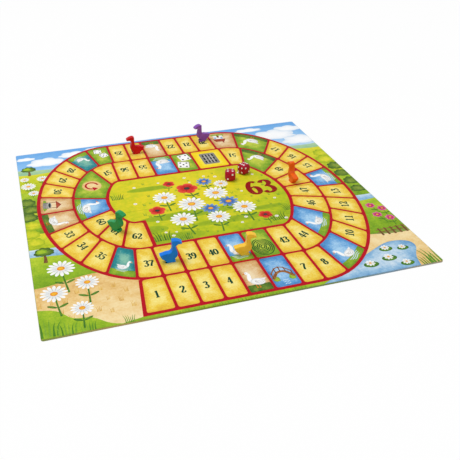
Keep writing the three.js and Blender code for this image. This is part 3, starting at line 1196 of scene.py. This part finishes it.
def fitted(begin, end, kind, flip):
    """The spot where a symbol's box fits into a space at its largest."""
    outline = inset(space_outline(begin, end), LINE_INSET + SYMBOL_MARGIN)
    found = []
    for depth in SYMBOL_DEPTHS:
        place, turn = space_spot(begin, end, depth)
        size = LARGEST_SYMBOL
        fits = False
        while not fits:
            size *= SYMBOL_SHRINK
            spot = Spot(place.x, place.y, turn, size, flip, SYMBOL_STRETCH)
            rim = box_outline(spot, *SYMBOL_BOXES[kind])
            rim += [(here + after) / 2 for here, after in zip(rim, rim[1:])]
            fits = all(inside(outline, point) for point in rim)
        found.append(spot)
    return max(found, key=lambda spot: spot.size)


def draw_symbols(ink, lines):
    drawings = {"bridge": draw_bridge, "inn": draw_inn, "dice": draw_dice, "well": draw_well,
                "maze": draw_maze, "prison": draw_prison, "return": draw_return}
    for number, (kind, ground) in SPECIAL_SPACES.items():
        begin = lines[number - 1]
        end = lines[number]
        flip = -1 if number % 2 else 1
        spot = fitted(begin, end, kind, flip)
        if kind != "goose":
            drawings[kind](ink, SYMBOL_LEVEL, spot)
            continue
        swims = ground in ("water", "lagoon")
        shore = inset(space_outline(begin, end, SHORE_DEPTH), LINE_INSET)
        shore = rounded(shore, SPACE_CORNER * 0.6)
        ink[SYMBOL_LEVEL].fill("grass" if swims else "hedge", shore, 0.15, 0.7)
        draw_goose(ink, SYMBOL_LEVEL + 1, spot, swims)


# Scenery round the track and in its middle

def scatter(count, box, gap):
    """Random places in a box, no two closer than the gap."""
    left, low, right, high = box
    places = []
    for _ in range(count * 10):
        place = Vector((random.uniform(left, right), random.uniform(low, high)))
        if len(places) < count and all((place - other).length > gap for other in places):
            places.append(place)
    return places


def draw_field(sheet, ink, left, right, height, depth, swell, phase, low=0.15, high=0.85):
    """Rolling ground between two x places, up to a wavy line at a height."""
    count = 24
    lower = []
    upper = []
    for step in range(count + 1):
        x = left + (right - left) * step / count
        upper.append(Vector((x, height + swell * math.sin(x / 22 + phase))))
        lower.append(Vector((x, height - depth)))
    sheet.band(ink, lower, upper, low, high)


def draw_fields(ink, fields):
    for level, values in enumerate(fields, HILLS_LEVEL):
        draw_field(ink[level], *values)


def draw_bushes(ink, bushes, height, far_colour, near_colour, change):
    """Bushes with a height in parts of their half width, whose colour changes at a place in y."""
    for index, (x, y, wide) in enumerate(bushes):
        outline = scalloped(Spot(x, y), wide, wide * height, 9, 0.14)
        colour = far_colour if y > change else near_colour
        ink[PLANTS_LEVEL + index % 3].fill(colour, outline, 0.05, 0.9, SOFT_RINGS)


def draw_tree(ink, level, x, y, high):
    trunk, crown, light = ink[level:level + 3]
    stem = [(0, 0), (0.6, high * 0.25), (0, high * 0.55)]
    curve(trunk, "bark", Spot(x, y), stem, high * 0.14, 0.4, high * 0.07)
    outline = scalloped(Spot(x, y + high * 0.62), high * 0.36, high * 0.4, 9, 0.14)
    crown.fill("hedge", outline, 0.05, 0.8, SOFT_RINGS)
    outline = scalloped(Spot(x - high * 0.08, y + high * 0.7), high * 0.2, high * 0.22, 7, 0.16)
    light.fill("pasture", outline, 0.2, 0.8)


def draw_tuft(sheet, colour, x, y, high, blades):
    for blade in range(blades):
        root = (blade - (blades - 1) / 2) * high * 0.12
        lean = root * 1.5 + random.uniform(-0.2, 0.2)
        reach = high * random.uniform(0.7, 1.0)
        line = [(root, 0), (root * 1.1, reach * 0.6), (lean, reach)]
        curve(sheet, colour, Spot(x, y), line, high * 0.08, random.uniform(0.2, 0.8), 0.2, 3)


def draw_flower(ink, level, kind, x, y, radius, turn=0.0):
    colour, petals, notch, heart = FLOWER_KINDS[kind]
    spot = Spot(x, y, turn)
    ink[level].fill(colour, rosette(spot, radius, petals, notch), 0.95, 0.35, (1.0, 0.8, 0.5, 0.25))
    for index in range(petals):
        angle = 2 * math.pi * index / petals
        reaches = (0.32 * radius, 0.62 * radius)
        crease = shape(spot, [(reach * math.cos(angle), reach * math.sin(angle)) for reach in reaches])
        ink[level + 1].stroke(colour, crease, [0.03 * radius, 0.08 * radius], 0.0)
    ink[level + 1].fill(heart, ellipse(Spot(x, y), 0, 0, radius * 0.28, radius * 0.26, 0, 16), 0.2, 0.9)


def draw_stem(ink, level, x, y, down, lean):
    leaf_size = min(1.0, down / 40)
    for side in (-1, 1):
        spot = Spot(x + lean * 0.5, y - down * 0.62, 0, leaf_size)
        ink[level].fill("leaf", ellipse(spot, side * 6.4, 2.6, 6, 1.9, side * 28, 14), 0.2, 0.8)
    stem = [(0, 0), (lean * 0.4, -down * 0.5), (lean, -down)]
    curve(ink[level + 1], "leaf", Spot(x, y), stem, 1.6 * leaf_size, 0.5, 2.4 * leaf_size)


def draw_plants(ink, stem_level, bloom_level, kind, plants):
    for index, (x, y, radius, down) in enumerate(plants):
        draw_stem(ink, stem_level + 2 * (index % 2), x, y, down, 4 - 6 * (index % 2))
        draw_flower(ink, bloom_level, kind, x, y, radius, 23 * index)


def draw_fence(ink, level, left, right, low, high):
    rails, posts = ink[level:level + 2]
    board = Spot(0, 0)
    for part in (0.45, 0.8):
        rail = [(left, low + (high - low) * part), (right, low + (high - low) * (part + 0.08))]
        pen(rails, "bark", board, rail, 1.8, 0.7)
    count = 5
    for index in range(count):
        x = left + (right - left) * (index + 0.5) / count
        posts.stroke("bark", shape(board, [(x, low), (x + 0.4, high)]), [3.0, 2.4], 0.35)


def draw_sky(ink):
    count = 24
    across = [HALF_BOARD * (2 * step / count - 1) for step in range(count + 1)]
    lower = [Vector((x, HALF_BOARD / 2)) for x in across]
    upper = [Vector((x, HALF_BOARD + 2)) for x in across]
    ink[GROUND_LEVEL].band("sky", lower, upper, 1.0, 0.1)
    for index, (x, y, wide, high) in enumerate(CLOUDS):
        outline = scalloped(Spot(x, y), wide, high, 7, 0.2)
        ink[HILLS_LEVEL + 1 + index % 4].fill("cloud", outline, 0.25, 1.0, SOFT_RINGS)


def draw_left_side(ink):
    draw_fields(ink, LEFT_FIELDS)
    draw_bushes(ink, LEFT_BUSHES, 1.3, "hedge", "field", 0)
    for x, y, high in LEFT_TREES:
        draw_tree(ink, PLANTS_LEVEL, x, y, high)
    draw_plants(ink, HILLS_LEVEL + 5, PLANTS_LEVEL + 2, "daisy", LEFT_DAISIES)


def draw_right_side(ink):
    draw_fields(ink, RIGHT_FIELDS)
    draw_bushes(ink, RIGHT_BUSHES, 1.2, "field", "hedge", 50)
    draw_fence(ink, PLANTS_LEVEL + 1, *FENCE)
    draw_plants(ink, HILLS_LEVEL + 5, PLANTS_LEVEL + 2, "pink", RIGHT_PINKS)


def draw_front(ink):
    """Sand and grass on the left, grass along the front edge, a pond with lilies on the right."""
    draw_field(ink[HILLS_LEVEL + 6], *FRONT_FIELD)
    board = Spot(0, 0)
    ink[PLANTS_LEVEL + 1].fill("pasture", shape(board, VERGE), 0.4, 0.5)
    rim = smooth(shape(board, GRASS_CORNER), 4)
    foot = [Vector((point.x, BELOW_FRONT)) for point in rim]
    ink[PLANTS_LEVEL + 2].band("pasture", foot, rim, 0.4, 0.6)
    ink[PLANTS_LEVEL].fill("pond", smooth(shape(board, POND_RIM), 6), 0.2, 0.9, SOFT_RINGS)
    for x, y, wide in LILIES:
        ink[PLANTS_LEVEL + 1].fill("leaf", ellipse(Spot(x, y), 0, 0, wide, wide * 0.6), 0.3, 0.8)
        draw_flower(ink, PLANTS_LEVEL + 2, "lily", x, y + 3, wide * 0.62)
    for place in scatter(34, STRAW_BOX, 14):
        draw_tuft(ink[PLANTS_LEVEL + 1], "straw", *place, random.uniform(8, 12), 4)
    for index, place in enumerate(scatter(46, VERGE_BOX, 3)):
        draw_tuft(ink[PLANTS_LEVEL + 1 + index % 2], "grass_blade", *place, random.uniform(4, 6), 3)
    for index, (x, y, high) in enumerate(FRONT_TUFTS):
        draw_tuft(ink[PLANTS_LEVEL + 3 + index % 2], "grass_blade", x, y, high, 6)
    draw_plants(ink, TRACK_LEVEL, TRACK_LEVEL + 4, "daisy", FRONT_DAISIES)


def draw_meadow(ink):
    """The middle of the board: a bright meadow with a large bunch of wild flowers."""
    ground = ellipse(Spot(*MEADOW_MIDDLE), 0, 0, *MEADOW_REACH, 0, 48)
    ink[GROUND_LEVEL].fill("meadow", ground, 0.0, 1.0, (1.0, 0.85, 0.65, 0.4, 0.2))
    for x, y, wide, high in MEADOW_SHADES:
        ink[GROUND_LEVEL + 1].fill("shade", ellipse(Spot(x, y), 0, 0, wide, high, 0, 28), 0.75, 0.4)
    for place in scatter(90, MEADOW_GRASS_BOX, 9):
        draw_tuft(ink[GROUND_LEVEL + 2], "grass_blade", *place, random.uniform(5, 9), 4)
    for x, y, high in MEADOW_TUFTS:
        draw_tuft(ink[BLOOM_LEVEL], "leaf", x, y, high, 7)
    stacks = []
    for index, (x, y, radius, kind) in enumerate(FLOWERS):
        below = [stack for stack, other in zip(stacks, FLOWERS)
                 if math.dist(other[:2], (x, y)) < other[2] + radius + 1]
        stacks.append(max(below, default=BLOOM_LEVEL - 2) + 2)
        draw_stem(ink, STEM_LEVEL + 2 * (index % 3), x, y, 2.4 * radius, (index % 3 - 1) * 5)
        draw_flower(ink, stacks[-1], kind, x, y, radius, 17 * index)
    for place in scatter(40, MEADOW_DAISY_BOX, 8):
        if all(math.dist(other[:2], place) > other[2] + 4 for other in FLOWERS):
            draw_flower(ink, BLOOM_LEVEL + 1, "small_daisy", *place, random.uniform(1.8, 3.0))


def draw_print(materials):
    lines = space_lines()
    ink = [Print(level) for level in range(LEVELS)]
    draw_sky(ink)
    draw_left_side(ink)
    draw_right_side(ink)
    draw_meadow(ink)
    draw_front(ink)
    draw_track(ink, lines)
    draw_symbols(ink, lines)
    draw_numbers(ink, lines)
    for sheet in ink:
        if sheet.faces:
            lay_print(sheet, materials)


# Hinge tape, pawns and dice

def hinge_tape(material):
    """One strip of cloth that bends over the fold, in place of the two rigid leaves."""
    low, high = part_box("front_hinge_tape")
    reach = -low.y
    bend = TAPE_BEND * MM
    bending = [bend * step / 4 for step in range(-4, 5)]
    rows = [-reach, -reach * 0.6, -2 * bend, *bending, 2 * bend, reach * 0.6, reach]
    ends = (low.x, low.x / 2, 0, high.x / 2, high.x)
    mesh = bmesh.new()
    for z in (low.z, high.z):
        grid = [[mesh.verts.new((x, y, z)) for x in ends] for y in rows]
        for near, far in zip(grid, grid[1:]):
            for end in range(len(ends) - 1):
                mesh.faces.new([near[end], near[end + 1], far[end + 1], far[end]])
    rim = [edge for edge in mesh.edges if len(edge.link_faces) == 1]
    bmesh.ops.bridge_loops(mesh, edges=rim)
    bmesh.ops.recalc_face_normals(mesh, faces=mesh.faces)
    piece = add_shape("hinge_tape", mesh, material)
    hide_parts("front_hinge_tape", "back_hinge_tape")
    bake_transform(piece, "front_half", "back_half", (0, -bend, 0), (0, bend, 0))


def face_turn(value):
    about_x, about_y = [math.radians(turn) for turn in DIE_FACES[value]]
    return Matrix.Rotation(about_y, 4, "Y") @ Matrix.Rotation(about_x, 4, "X")


def face_height(x, y):
    """Height of a die's face above the middle of the die, lower towards the rounded edges."""
    flat = DIE_SIZE / 2 - DIE_EDGE_RADIUS
    past_x = max(0.0, abs(x) - flat)
    past_y = max(0.0, abs(y) - flat)
    return flat + math.sqrt(DIE_EDGE_RADIUS ** 2 - past_x ** 2 - past_y ** 2)


def pip_paint(mesh, face, x, y):
    """White paint in one pip, almost up to the face of the die, with a slightly hollow top."""
    rings = []
    for part, sink in PAINT_RINGS:
        ring = []
        for step in range(PIP_SIDES):
            angle = 2 * math.pi * step / PIP_SIDES
            across = x + math.cos(angle) * PIP_RADIUS * part
            along = y + math.sin(angle) * PIP_RADIUS * part
            height = face_height(across, along) - sink if sink else DIE_SIZE / 2 - PIP_DEPTH
            ring.append(mesh.verts.new(face @ (Vector((across, along, height)) * MM)))
        rings.append(ring)
    mesh.faces.new(list(reversed(rings[0])))
    mesh.faces.new(rings[-1])
    for lower, upper in zip(rings, rings[1:]):
        for step in range(PIP_SIDES):
            after = (step + 1) % PIP_SIDES
            mesh.faces.new([lower[step], lower[after], upper[after], upper[step]])


def die_pips(node, material):
    body, turn, top = DICE[node]
    low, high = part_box(node)
    turned = Matrix.Rotation(math.radians(turn), 4, "Z")
    lie = Matrix.Translation((low + high) / 2) @ turned @ face_turn(top).inverted()
    mesh = bmesh.new()
    for value in DIE_FACES:
        for column, row in pip_places(value):
            pip_paint(mesh, lie @ face_turn(value), column * PIP_SPACING, row * PIP_SPACING)
    piece = add_shape(f"{node}_pips", mesh, material)
    piece.data.shade_smooth()
    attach(piece, body)


def dress(node, material, smooth_angle=None, edge=None):
    """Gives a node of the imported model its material, and softer edges where asked."""
    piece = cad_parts[node]
    piece.data.materials.clear()
    piece.data.materials.append(material)
    if smooth_angle:
        piece.data.shade_smooth()
        piece.data.set_sharp_from_angle(angle=math.radians(smooth_angle))
    if edge:
        soft = piece.modifiers.new("soft_edges", "BEVEL")
        soft.width = edge * MM
        soft.segments = 2
        soft.limit_method = "ANGLE"
        soft.angle_limit = math.radians(SOFT_EDGE_ANGLE)
        even_normals = piece.modifiers.new("even_normals", "WEIGHTED_NORMAL")
        even_normals.keep_sharp = True


def dress_board():
    paper = paper_material()
    board = board_material()
    lining = cloth_material("lining_blue", LINING_BLUES, 0.9, 0.03)
    for half in ("front", "back"):
        dress(f"{half}_print_sheet", paper)
        dress(f"{half}_core_board", board)
        dress(f"{half}_lining_paper", lining)
    hinge_tape(cloth_material("book_cloth", CLOTH_BLUES, 0.7, 0.06))


def dress_pieces():
    for colour, shades in PAWNS.items():
        plastic = plastic_material(f"{colour}_pawn_plastic", shades)
        dress(f"{colour}_goose", plastic, PAWN_SMOOTH_ANGLE, PAWN_EDGE)
    red = dice_material()
    white = pip_material()
    for node in DICE:
        dress(node, red, DIE_SMOOTH_ANGLE)
        die_pips(node, white)


# Stage, light and camera

def add_floor():
    """Pale floor that shows white to the camera and keeps a soft shadow."""
    material, tree, shader = new_material("pale_floor")
    paint(tree, shader, noise(tree, 400.0), FLOOR_GREYS)
    shader.inputs["Roughness"].default_value = 0.9
    shader.inputs["Specular IOR Level"].default_value = 0.0
    glow = tree.nodes.new("ShaderNodeEmission")
    path = tree.nodes.new("ShaderNodeLightPath")
    seen = calculate(tree, "MAXIMUM", path.outputs["Is Camera Ray"], path.outputs["Is Glossy Ray"])
    seen = calculate(tree, "MAXIMUM", seen, path.outputs["Is Transmission Ray"])
    share = calculate(tree, "MULTIPLY", seen, FLOOR_GLOW)
    mix_shaders(tree, share, shader.outputs["BSDF"], glow.outputs["Emission"], "Material Output")
    mesh = bmesh.new()
    bmesh.ops.create_grid(mesh, x_segments=8, y_segments=8, size=FLOOR_REACH)
    floor = add_shape("floor", mesh, material)
    floor.location.z = -FLOOR_DROP


def add_world():
    """White to the camera, and a dimmer white as light."""
    world = bpy.data.worlds.new("studio")
    world.use_nodes = True
    tree = world.node_tree
    light = tree.nodes["Background"]
    light.inputs["Color"].default_value = WHITE
    light.inputs["Strength"].default_value = WORLD_LIGHT
    seen = tree.nodes.new("ShaderNodeBackground")
    seen.inputs["Color"].default_value = WHITE
    share = tree.nodes.new("ShaderNodeLightPath").outputs["Is Camera Ray"]
    mix_shaders(tree, share, light.outputs["Background"], seen.outputs["Background"], "World Output")
    bpy.context.scene.world = world


def aim(item, place, direction):
    """Puts a lamp or a camera in its place, looking in a direction."""
    item.location = place
    item.rotation_mode = "QUATERNION"
    item.rotation_quaternion = Vector(direction).to_track_quat("-Z", "Y")


def add_lamp(name, place, size, power):
    data = bpy.data.lights.new(name, "AREA")
    data.size = size
    data.energy = power
    aim(add_object(name, data), place, -Vector(place))


def add_camera():
    data = bpy.data.cameras.new("camera")
    data.lens = CAMERA_LENS
    data.sensor_width = SENSOR
    data.clip_start, data.clip_end = CAMERA_CLIP
    camera = add_object("camera", data)
    aim(camera, CAMERA_PLACE, CAMERA_AIM)
    bpy.context.scene.camera = camera


dress_board()
dress_pieces()
draw_print({name: ink_material(name) for name in INKS})
add_floor()
add_world()
for name, values in LAMPS.items():
    add_lamp(name, *values)
add_camera()
bpy.context.scene.view_settings.view_transform = "Standard"
